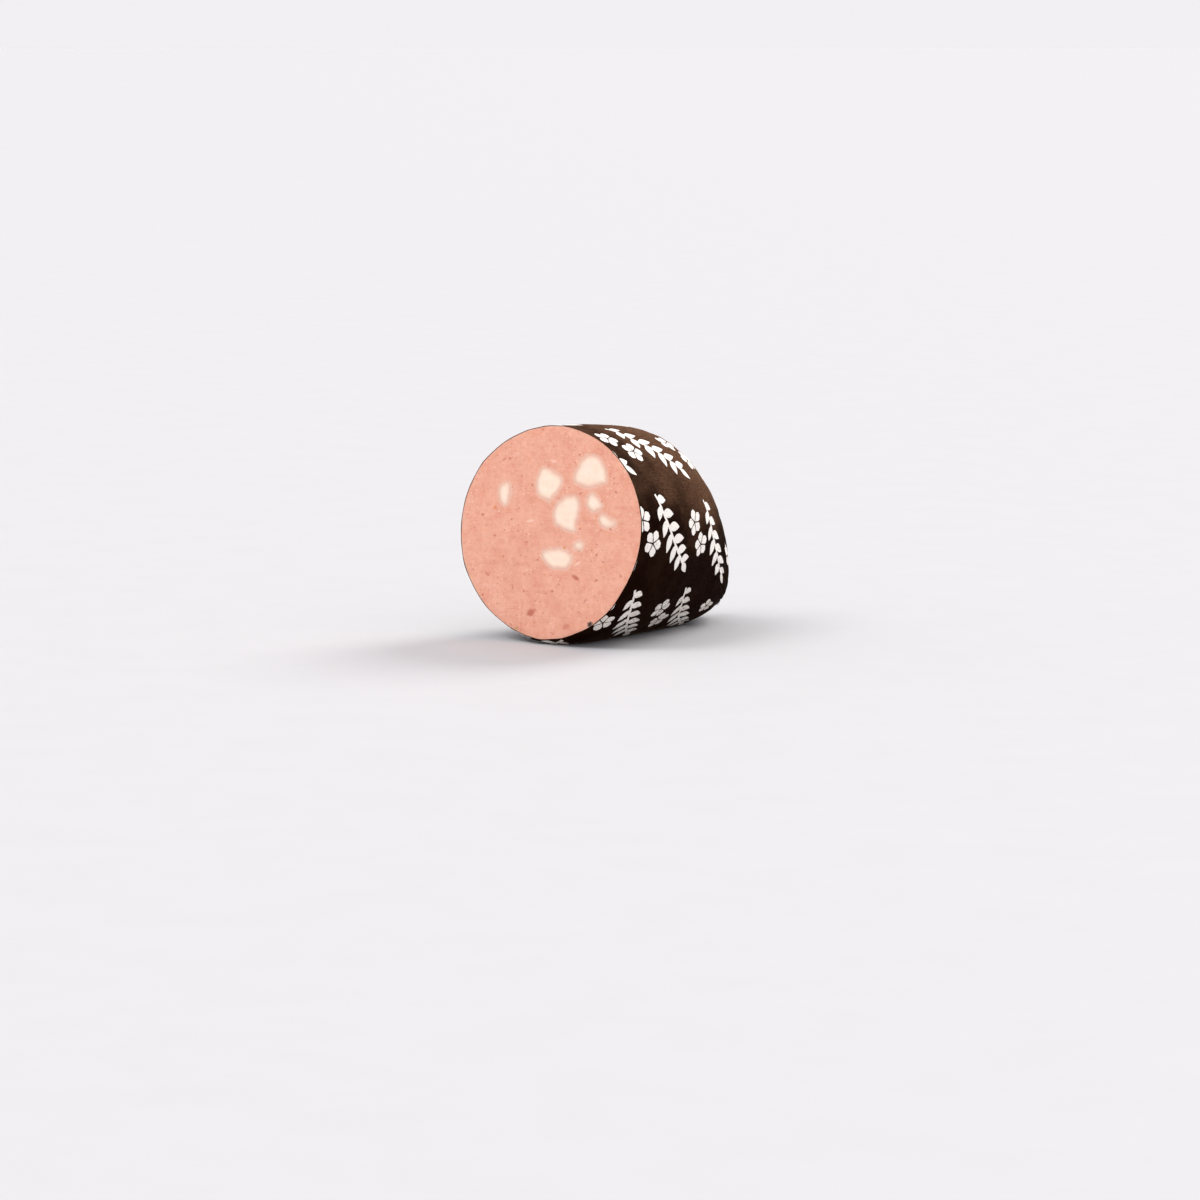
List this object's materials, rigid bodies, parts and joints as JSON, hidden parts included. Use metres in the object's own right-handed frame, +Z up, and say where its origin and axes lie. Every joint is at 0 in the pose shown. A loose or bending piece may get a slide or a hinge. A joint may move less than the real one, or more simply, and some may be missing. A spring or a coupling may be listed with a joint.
{
  "type": "mortadella",
  "caption": "Cut end of a small mortadella lying on its side: pink meat set with white fat cubes, in a dark patterned casing gathered and clipped at the far end.",
  "frame": {"origin": "bottom centre of the bounding box, on the surface that the log lies on", "axes": "+Y runs along the log from its cut face to its gathered end, +Z is up, and +X is its right flank, seen from the cut face"},
  "size_m": [0.1076, 0.131, 0.1031],
  "materials": {
    "meat": "moist, fine-grained salmon-pink cut paste with darker red flecks",
    "fat": "smooth, waxy, creamy white back fat",
    "casing": "matte fibrous black-brown sausage casing, pleated where it is gathered",
    "print": null,
    "metal": "soft brushed aluminium, crimped"
  },
  "bodies": {
    "root": {"meat": "meat", "casing": "casing", "clip": "metal", "lardello_1": "fat", "lardello_2": "fat", "lardello_3": "fat", "lardello_4": "fat", "lardello_5": "fat", "lardello_6": "fat", "lardello_7": "fat", "lardello_8": "fat"}
  },
  "joints": []
}
